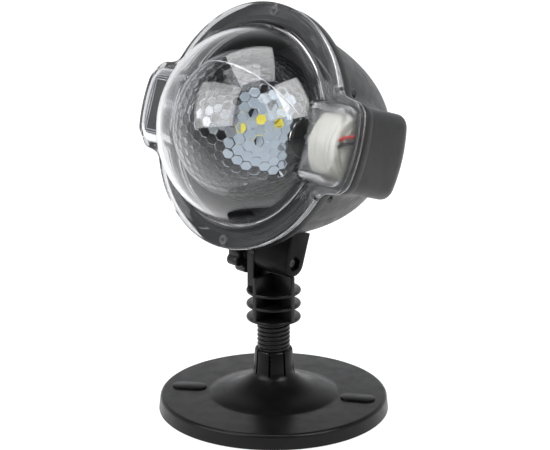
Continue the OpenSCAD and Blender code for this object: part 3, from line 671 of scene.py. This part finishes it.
def lug():
    """The lug that hangs below the bowl, in the head frame."""
    x0, top = -EAR_FACE + 0.1, AXIS_N - BOWL_R + 9
    outline = [(-LUG_R, top)] + arc(0, 0, LUG_R, 180, 360, 30) + [(LUG_R, top)]
    steps = [(x0, 0.93), (x0 + 0.2, 0.975), (x0 + 0.6, 1)]
    steps += [(LUG_X - 0.6, 1), (LUG_X - 0.2, 0.975), (LUG_X, 0.93)]
    return loft([[(x, y * k, z if z > 0 else z * k) for y, z in outline] for x, k in steps])


def rear_housing():
    outside = shell_rings(0, -RIM_Z + 0.4, 2.5)
    inside = shell_rings(WALL, -RIM_Z + 0.6, 1.0)
    rim = [flange_ring(RIM_Z, 4.5), flange_ring(RIM_Z, 1.4), flange_ring(RIM_Z + 0.25, 0.85),
           flange_ring(RIM_Z + 0.8, 0.6), flange_ring(GASKET_Z - 0.5, 0.6), flange_ring(GASKET_Z - 0.1, 0.8),
           flange_ring(GASKET_Z, 1.2), ring(GASKET_Z, FLANGE_R - 8.6, EAR_R - 4, EAR_Y - 4, 5)]
    rim += [ring(z, FLANGE_R - 9, EAR_R - 4.2, EAR_Y - 4.2, 4.8) for z in (GASKET_Z - 0.4, RIM_Z)]
    shell = loft(list(reversed(outside)) + rim + inside)
    extras = []
    for x, y in SCREW_SPOTS:
        boss = [(0, RIM_Z - 2), (BOSS_R - 0.15, RIM_Z - 2), (BOSS_R, RIM_Z - 1.8)]
        boss += [(BOSS_R, RIM_Z + 1), (0, RIM_Z + 1)]
        extras.append(moved(lathe(boss, 48), shift(x, y, 0)))
    extras.append(moved(plug(GLAND_R, -BOWL_D - 1.5, -BOWL_D + 6, 0.6, 96), shift(0, GLAND_Y, 0)))
    shell = combine(shell, extras, "UNION")
    to_lamp = LAMP.inverted() @ HEAD
    shell = combine(shell, [moved(lug(), to_lamp)], "UNION")
    bolt_hole = rod(BOLT_HOLE + 0.03, -EAR_FACE - 0.9, LUG_X + 1)
    nut_pocket = rod(4.19, 9.5, LUG_X + 1, n=6)
    cuts = [moved(bolt_hole, to_lamp), moved(nut_pocket, to_lamp)]
    cuts.append(moved(plug(6, -BOWL_D - 3, -BOWL_D + 12, n=64), shift(0, GLAND_Y, 0)))
    for x, y in SCREW_SPOTS:
        step = GASKET_Z - 3.2
        hole = [(0, RIM_Z - 4), (1.6, RIM_Z - 4), (1.6, step), (2.75, step), (2.75, 0), (0, 0)]
        cuts.append(moved(lathe(hole, 40), shift(x, y, 0)))
    shell = combine(shell, cuts, "DIFFERENCE")
    return combine(shell, [loft(shell_rings(WALL, -RIM_Z - 6.5, 1.0))], "DIFFERENCE")


piece("rear_housing_shell", rear_housing(), LAMP, M["housing"], ["rear_housing"], sharp=35)


# ---- stem -----------------------------------------------------------------------------
def threaded_stud():
    """The stud below the neck, with a helical thread that fades out under the lowest disc."""
    turns, per = 96, 12
    circle = [(math.cos(2 * math.pi * k / turns), math.sin(2 * math.pi * k / turns)) for k in range(turns)]
    height = DISC_Z - STUD_LOW
    rows = int(height / THREAD * per)
    rings = [[(0, 0, STUD_LOW)], [(6.6 * c, 6.6 * s, STUD_LOW) for c, s in circle]]
    for i in range(rows + 1):
        z = STUD_LOW + 0.9 + (height - 0.9) * i / rows
        fade = min(1.0, max(0.0, (DISC_Z - 1.4 - z) / 1.2))
        loop = []
        for k, (c, s) in enumerate(circle):
            phase = (z / THREAD - k / turns) % 1
            crest = min(1.0, max(0.0, (0.36 - abs(phase - 0.5)) / 0.2))
            crest = crest * crest * (3 - 2 * crest)
            r = ROOT_R + (STUD_R - ROOT_R) * crest * fade
            loop.append((r * c, r * s, z))
        rings.append(loop)
    rings.append([(0, 0, DISC_Z)])
    return loft(rings)


def neck_disc(z):
    """One of the neck's discs, with rounded rims."""
    h, e = DISC_T / 2, 0.6
    profile = [(0, z - h), (NECK_R - e, z - h), (NECK_R - 0.22, z - h + 0.16), (NECK_R, z - h + e)]
    profile += [(NECK_R, z + h - e), (NECK_R - 0.22, z + h - 0.16), (NECK_R - e, z + h), (0, z + h)]
    return lathe(profile, 128)


def neck_ear():
    """The flat ear that stands on the top disc and holds the tilt bolt."""
    foot = DISC_Z + 2 * DISC_PITCH
    outline = [(-LUG_R, foot)] + arc(0, PIVOT_Z, LUG_R, 180, 0, 30) + [(LUG_R, foot)]
    rings = []
    for x, k in ((-NECK_R - 1, 1), (-EAR_FACE - 0.6, 1), (-EAR_FACE - 0.2, 0.975), (-EAR_FACE, 0.93)):
        rings.append([(x, y * k, PIVOT_Z + (z - PIVOT_Z) * k if z > PIVOT_Z else z) for y, z in outline])
    top = PIVOT_Z + LUG_R
    limit = [(0, foot - 2), (NECK_R, foot - 2), (NECK_R, top - 1.5)]
    limit += [(NECK_R - 0.5, top + 0.5), (0, top + 0.5)]
    return combine(loft(rings), [lathe(limit, 128)], "INTERSECT")


def stem():
    web_top = PIVOT_Z - LUG_R - 0.6
    parts = [neck_disc(DISC_Z + k * DISC_PITCH) for k in range(3)]
    for angle in (0, 90):
        web = block((-NECK_R, -WEB_T / 2, DISC_Z), (NECK_R, WEB_T / 2, web_top - angle / 200), 0.5)
        parts.append(moved(web, Matrix.Rotation(math.radians(angle), 4, "Z")))
    seat = moved(rod(5.5, SEAT_X, -EAR_FACE - 1, 0.4), PIVOT)
    body = combine(threaded_stud(), parts + [neck_ear(), seat], "UNION")
    return combine(body, [moved(rod(BOLT_HOLE, SEAT_X - 2, 0), PIVOT)], "DIFFERENCE")


piece("stem_body", stem(), ROW, M["stem"], ["stem"], sharp=30)


# ---- knob -----------------------------------------------------------------------------
def knob_outline(x, inset, n=168):
    """The knob's lobed outline at x, drawn in by inset."""
    centre = KNOB_R - LOBE_R
    loop = []
    for k in range(n):
        a = 2 * math.pi * k / n
        part = (a * LOBES / (2 * math.pi)) % 1
        off = (part if part < 0.5 else part - 1) * 2 * math.pi / LOBES
        across = centre * math.sin(off)
        lobe = 0
        if abs(across) < LOBE_R:
            lobe = centre * math.cos(off) + math.sqrt(LOBE_R ** 2 - across ** 2)
        r = min(soft_max(lobe, 9.6, 1.2), KNOB_R) - inset
        loop.append((x, r * math.cos(a), r * math.sin(a)))
    return loop


def knob():
    steps = [(0, 1.1), (0.12, 0.62), (0.42, 0.24), (1.1, 0)]
    rings = [knob_outline(KNOB_X + d, inset) for d, inset in steps]
    rings += [knob_outline(KNOB_X + KNOB_L - d, inset) for d, inset in reversed(steps)]
    body = combine(loft(rings), [rod(6, KNOB_X + KNOB_L - 0.5, WASHER_X, 0.3)], "UNION")
    hollow = lathe([(0, -1), (7.2, -1), (6.4, 0.7), (0, 0.7)], 64)
    cuts = [rod(4.06, KNOB_X - 1, WASHER_X - 2.5, n=6), rod(BOLT_HOLE - 0.03, WASHER_X - 3.5, WASHER_X + 1),
            moved(hollow, shift(KNOB_X, 0, 0) @ ALONG_X)]
    return combine(body, cuts, "DIFFERENCE")


piece("hand_knob", knob(), PIVOT, M["knob"], ["clamp_knob"])


# ---- base -----------------------------------------------------------------------------
def mound_z(r):
    """Height of the mound at radius r."""
    return (BASE_H + MOUND_SWELL * (1 - (r / MOUND_R) ** 6)
            + (MOUND_TOP - BASE_H - MOUND_SWELL) * ((MOUND_R - r) / (MOUND_R - SOCKET_R)) ** 3)


def raised_oval(angle):
    """A flat oval on the disc, with a soft upper edge."""
    top = BASE_H + OVAL_H
    rings = []
    for z, inset in ((BASE_H - 1, 0), (top - 0.45, 0), (top - 0.15, 0.1), (top, 0.4)):
        half, r = (OVAL_L - OVAL_W) / 2, OVAL_W / 2 - inset
        rings.append([(x, y, z) for x, y in arc(half, 0, r, -90, 90, 32) + arc(-half, 0, r, 90, 270, 32)])
    return moved(loft(rings), Matrix.Rotation(math.radians(angle), 4, "Z") @ shift(OVAL_AT, 0, 0))


def base_disc():
    edge, flare = 2.0, 2.0
    low = PAD_T + 0.05
    profile = [(0, low), (PAD_R + 0.6, low), (PAD_R + 0.6, 0.6), (PAD_R + 0.9, 0.4)]
    profile += [(BASE_R - 0.3, 0.4), (BASE_R, 0.7)]
    for degrees in range(0, 91, 9):
        a = math.radians(degrees)
        profile.append((BASE_R - 0.7 - edge * (1 - math.cos(a)), BASE_H - edge * (1 - math.sin(a))))
    profile += [(MOUND_R + 1.5, BASE_H), (MOUND_R + 0.35, BASE_H + 0.03)]
    for i in range(1, 61):
        r = MOUND_R - (MOUND_R - SOCKET_R - flare) * i / 60
        profile.append((r, mound_z(r)))
    top = mound_z(SOCKET_R + flare)
    for a in (0.25, 0.5, 0.75, 1.0, 1.25, math.pi / 2):
        r = SOCKET_R + flare * (1 - math.sin(a)) - 0.05 * a
        profile.append((r, top + 3.6 * (1 - math.cos(a)) + 1.3 * math.sin(a)))
    profile += [(SOCKET_R - 0.78, SOCKET_TOP - 1.0), (SOCKET_R - 1.0, SOCKET_TOP - 0.5),
                (SOCKET_R - 1.5, SOCKET_TOP - 0.08), (SOCKET_R - 1.8, SOCKET_TOP)]
    profile += [(BORE_R + 0.25, SOCKET_TOP), (BORE_R, SOCKET_TOP - 0.6)]
    profile += [(BORE_R, BORE_FLOOR), (0, BORE_FLOOR)]
    body = combine(lathe(profile, 256), [raised_oval(a) for a in OVAL_ANGLES], "UNION")
    cuts = []
    for k in range(SLITS):
        outer = (SOCKET_R + 1, SLIT_W / 2, SOCKET_TOP + 1)
        slit = block((BORE_R - 0.6, -SLIT_W / 2, MOUND_TOP), outer, 0.1, 1)
        cuts.append(moved(slit, Matrix.Rotation(math.radians(SLIT_FIRST + 360 * k / SLITS), 4, "Z")))
    return combine(body, cuts, "DIFFERENCE")


piece("base_body", base_disc(), ROW, M["base"], ["base_disc"], sharp=28)


# ---- lens ball ------------------------------------------------------------------------
def lens_sphere(radius, bulge, groove):
    """A sphere of hexagonal cells: facets that bulge towards the centre, with grooves between them."""
    n = CELL_FREQUENCY
    g = (1 + math.sqrt(5)) / 2
    spots = [(-1, g, 0), (1, g, 0), (-1, -g, 0), (1, -g, 0), (0, -1, g), (0, 1, g),
             (0, -1, -g), (0, 1, -g), (g, 0, -1), (g, 0, 1), (-g, 0, -1), (-g, 0, 1)]
    corners = [Vector(spot).normalized() for spot in spots]
    sides = [(0, 11, 5), (0, 5, 1), (0, 1, 7), (0, 7, 10), (0, 10, 11),
             (1, 5, 9), (5, 11, 4), (11, 10, 2), (10, 7, 6), (7, 1, 8),
             (3, 9, 4), (3, 4, 2), (3, 2, 6), (3, 6, 8), (3, 8, 9),
             (4, 9, 5), (2, 4, 11), (6, 2, 10), (8, 6, 7), (9, 8, 1)]
    points, index, triangles = [], {}, []

    def point(p):
        p = p.normalized()
        key = tuple(round(x, 5) for x in p)
        if key not in index:
            index[key] = len(points)
            points.append(p)
        return index[key]
    for a, b, c in sides:
        grid = {}
        for i in range(n + 1):
            for j in range(n + 1 - i):
                grid[i, j] = point(corners[a] * (n - i - j) + corners[b] * i + corners[c] * j)
        for i in range(n):
            for j in range(n - i):
                triangles.append((grid[i, j], grid[i + 1, j], grid[i, j + 1]))
                if i + j < n - 1:
                    triangles.append((grid[i + 1, j], grid[i + 1, j + 1], grid[i, j + 1]))
    mids = [(points[a] + points[b] + points[c]).normalized() for a, b, c in triangles]
    around = [[] for _ in points]
    for t, tri in enumerate(triangles):
        for v in tri:
            around[v].append(t)
    turn = Matrix.Rotation(0.31, 3, "Y") @ Matrix.Rotation(0.2, 3, "X")
    bm = bmesh.new()
    corner_verts = [bm.verts.new(turn @ m * (radius + groove)) for m in mids]
    steps = (0.95, 0.80, 0.45)
    for v, ts in enumerate(around):
        axis = points[v]
        u = axis.orthogonal().normalized()
        w = axis.cross(u)
        ts.sort(key=lambda t: math.atan2(mids[t].dot(w), mids[t].dot(u)))
        flat = sum((mids[t] for t in ts), Vector()).dot(axis) / len(ts)
        centre = bm.verts.new(turn @ axis * (radius * flat - bulge))
        rows = [[corner_verts[t] for t in ts]]
        for k in steps:
            drop = bulge * (1 - k * k)
            height = axis * (radius * flat - drop)
            rows.append([bm.verts.new(turn @ (height + (mids[t] - axis * flat) * radius * k)) for t in ts])
        for i in range(len(ts)):
            j = (i + 1) % len(ts)
            for a, b in zip(rows, rows[1:]):
                bm.faces.new((a[i], a[j], b[j], b[i]))
            bm.faces.new((rows[-1][i], rows[-1][j], centre))
    bmesh.ops.recalc_face_normals(bm, faces=bm.faces)
    return bm


def ball_shells():
    """The ball's two clear shells, cut from one hollow ball at the seam."""
    start = math.degrees(math.asin(POLE_FLAT / BALL_R))
    outer = [(0, -POLE_FLAT)] + arc(0, 0, BALL_R, -start, start, 96) + [(0, POLE_FLAT)]
    inside = lens_sphere(BALL_R - BALL_WALL, CELL_BULGE, CELL_GROOVE)
    poles = moved(lathe([(0, -50), (POLE_R, -50), (POLE_R, 50), (0, 50)], 96), ALONG_X)
    shell = combine(moved(lathe(outer, 192), ALONG_X), [inside, poles], "DIFFERENCE")
    keep = as_object(shell)
    halves = []
    for gap, operation in ((-SEAM_GAP, "DIFFERENCE"), (SEAM_GAP, "INTERSECT")):
        side = block((-60, -60, SEAM_OFF + gap), (60, 60, SEAM_OFF + 120), 0)
        moved(side, Matrix.Rotation(math.radians(SEAM_ANG - 180), 4, "X"))
        copy = bmesh.new()
        copy.from_mesh(keep.data)
        halves.append(combine(copy, [side], operation))
    mesh = keep.data
    bpy.data.objects.remove(keep)
    bpy.data.meshes.remove(mesh)
    return halves


main_half, cap_half = ball_shells()
piece("ball_lens_main", main_half, BALL, M["ball"], ["ball_main_shell"], sharp=50)
piece("ball_lens_cap", cap_half, BALL, M["ball"], ["ball_cap_shell"], sharp=50)


def seam_line():
    """The thin glued line between the ball's two shells, stopped short of the hubs."""
    r, half, depth = math.sqrt(BALL_R ** 2 - SEAM_OFF ** 2) - 0.03, 0.16, 0.3
    low, high = SEAM_OFF - half, SEAM_OFF + half
    corners = [(r - depth, low), (r, low), (r, high), (r - depth, high)]
    turn = [(math.cos(2 * math.pi * k / 192), math.sin(2 * math.pi * k / 192)) for k in range(192)]
    band = loft([[(q * c, q * s, z) for c, s in turn] for q, z in corners + corners[:1]], closed_ends=False)
    bmesh.ops.remove_doubles(band, verts=band.verts, dist=1e-4)
    moved(band, Matrix.Rotation(math.radians(SEAM_ANG - 180), 4, "X"))
    ends = [block((side * 47 - 10, -20, -20), (side * 47 + 10, 20, 20), 0) for side in (-1, 1)]
    return combine(band, ends, "DIFFERENCE")


piece("ball_seam_line", seam_line(), BALL, M["glue"], [], slot_of="ball_main_shell")


# ---- drive, bracket and LED board -----------------------------------------------------
def motor():
    """Geared motor: a drum with shallow bands, a boss for the output shaft and a stepped end cap."""
    x1 = MOTOR_X + MOTOR_L
    profile = [(0, MOTOR_X), (MOTOR_R - 1.2, MOTOR_X)]
    profile += [(MOTOR_R - 0.35, MOTOR_X + 0.35), (MOTOR_R, MOTOR_X + 1.2)]
    for x in (MOTOR_X + 4.6, MOTOR_X + 11.0):
        profile += [(MOTOR_R, x), (MOTOR_R - 0.25, x + 0.3), (MOTOR_R - 0.25, x + 0.9), (MOTOR_R, x + 1.2)]
    profile += [(MOTOR_R, x1 - 0.9), (MOTOR_R - 0.3, x1 - 0.25), (MOTOR_R - 0.9, x1), (0, x1)]
    drum = moved(moved(lathe(profile, 160), ALONG_X), shift(0, 0, -SHAFT_OFF))
    drum = combine(drum, [rod(4.5, MOTOR_X - 3.5, MOTOR_X + 1, 0.4)], "UNION")
    cuts = [rod(SHAFT_R + 0.05, MOTOR_X - 5, MOTOR_X + 11)]
    for side in (-1, 1):
        hole = rod(1.3, MOTOR_X - 1, MOTOR_X + 7, n=32)
        cuts.append(moved(hole, shift(0, side * MOTOR_SCREW_Y, -SHAFT_OFF)))
    return combine(drum, cuts, "DIFFERENCE")


def motor_cap():
    """The pale end cap: a rim, a groove and two raised rings round a small hub."""
    r = MOTOR_R - 0.6
    steps = [(0, 0), (r, 0), (r, 2.2), (r - 0.3, 2.8), (r - 0.9, 3), (r - 2.6, 3), (r - 2.9, 2.6),
             (r - 3.5, 2.6), (r - 3.8, 3.6), (r - 4.4, 4), (9.4, 4), (9.0, 3.6), (8.2, 3.6), (7.8, 4),
             (4.4, 4), (4.0, 4.3), (4.0, 5.0), (3.7, 5.2), (0, 5.2)]
    cap = lathe([(radius, MOTOR_X + MOTOR_L + x) for radius, x in steps], 160)
    return moved(moved(cap, ALONG_X), shift(0, 0, -SHAFT_OFF))


piece("motor_drum", motor(), BALL, M["cream"], ["drive_motor"])
piece("motor_end_cap", motor_cap(), BALL, M["cream"], ["motor_cap"])


def arm_bracket():
    """Bracket of the fixed arm, with a stepped front panel."""
    (x0, y0, z0), (x1, y1, z1) = BRACKET_LO, BRACKET_HI
    front = block((x0 + 0.5, y0 + 0.5, z1 - 1), (x1 - 0.5, y1 - 0.5, z1), 0.2, 2)
    body = combine(block((x0, y0, z0), (x1, y1, z1 - 0.3), 0.6), [front], "UNION")
    arm_hole = moved(rod(ARM_R + 0.02, x0 - 1, x1 + 1), shift(0, 0, -BALL_SINK))
    return combine(body, [arm_hole], "DIFFERENCE")


def panel_frame(w, h):
    """A thin raised frame on the bracket's front panel."""
    cx, z1 = (BRACKET_LO[0] + BRACKET_HI[0]) / 2, BRACKET_HI[2]
    outer = block((cx - w / 2, -h / 2, z1 - 0.4), (cx + w / 2, h / 2, z1 + 0.35), 0.12, 2)
    inner_w, inner_h = w / 2 - FRAME_W, h / 2 - FRAME_W
    inner = block((cx - inner_w, -inner_h, z1 - 2), (cx + inner_w, inner_h, z1 + 2), 0)
    return combine(outer, [inner], "DIFFERENCE")


piece("arm_bracket_panelled", arm_bracket(), LAMP, M["inner"], ["arm_bracket"])
# the frames' pale grey is a painted highlight for the light lines round the panel
for name, size in (("outer", (15.4, 30.4)), ("inner", (12.6, 27.6))):
    piece("panel_frame_" + name, panel_frame(*size), LAMP, M["frame_painted_highlight"], [], slot_of="arm_bracket")


# ---- camera, floor and light ----------------------------------------------------------
camera = bpy.data.objects.new("photo_camera", bpy.data.cameras.new("photo_camera"))
bpy.context.scene.collection.objects.link(camera)
camera.data.lens = CAMERA_LENS
camera.data.sensor_width = 36
camera.location = CAMERA_AT
across = math.atan2(-camera.location.y, -camera.location.x)
camera.rotation_euler = (math.radians(90) - CAMERA_DOWN, 0, across - math.radians(90) - CAMERA_ASIDE)
bpy.context.scene.camera = camera


def floor():
    """A round white floor that shades to paper grey on the camera's side."""
    bm = lathe([(0, 0), (FLOOR_R, 0)], 96)
    for face in list(bm.faces):
        if len(face.verts) > 4:
            bm.faces.remove(face)
    obj = as_object(bm, "floor")
    mat, tree, shader, where = material("floor_white")
    shader.inputs["Emission Color"].default_value = (1, 1, 1, 1)
    depth = along(tree, where, AWAY)
    tree.links.new(spread(tree, depth, *FLOOR_GLOW, *FLOOR_FADE), shader.inputs["Emission Strength"])
    paper = tree.nodes.new("ShaderNodeMath")
    paper.operation = "MULTIPLY"
    tree.links.new(spread(tree, depth, *FLOOR_GREY, *FLOOR_FADE), paper.inputs[0])
    tree.links.new(spread(tree, noise(tree, where, 1.7, 3), 0.97, 1.03), paper.inputs[1])
    tree.links.new(paper.outputs["Value"], shader.inputs["Base Color"])
    tree.links.new(spread(tree, noise(tree, where, 9, 3), 0.6, 0.75), shader.inputs["Roughness"])
    bump(tree, shader, noise(tree, where, 320, 3), 0.05, 0.0004)
    obj.data.materials.append(mat)


floor()


def softbox(name, direction, side, size, radiance):
    """A rectangular lamp that faces the object; side is roughly the direction of its first edge."""
    out = Vector(direction).normalized()
    x = Vector(side)
    x = (x - out * x.dot(out)).normalized()
    y = out.cross(x)
    data = bpy.data.lights.new(name, "AREA")
    data.shape = "RECTANGLE"
    data.size, data.size_y = size
    data.energy = radiance * math.pi * size[0] * size[1]
    obj = bpy.data.objects.new(name, data)
    bpy.context.scene.collection.objects.link(obj)
    m = Matrix((x, y, out)).transposed().to_4x4()
    m.translation = CENTRE + out * SOFTBOX_FAR
    obj.matrix_world = m


for row in SOFTBOXES:
    softbox(*row)


def studio():
    """Surroundings: white behind and beside the object, dark behind the camera and overhead."""
    world = bpy.data.worlds.new("studio")
    world.use_nodes = True
    tree = world.node_tree
    where = tree.nodes.new("ShaderNodeTexCoord").outputs["Generated"]
    back = spread(tree, along(tree, where, AWAY), 0, 1, *SKY_BACK)
    level = spread(tree, along(tree, where, (0, 0, -1)), 0, 1, *SKY_DOWN)
    both = tree.nodes.new("ShaderNodeMath")
    both.operation = "MULTIPLY"
    tree.links.new(back, both.inputs[0])
    tree.links.new(level, both.inputs[1])
    sky = tree.nodes["Background"]
    tree.links.new(spread(tree, both.outputs["Value"], *SKY_LIGHT, 0, 1), sky.inputs["Strength"])
    sky.inputs["Color"].default_value = (0.97, 0.98, 1.0, 1)
    bpy.context.scene.world = world


studio()
bpy.context.scene.view_settings.view_transform = "Standard"
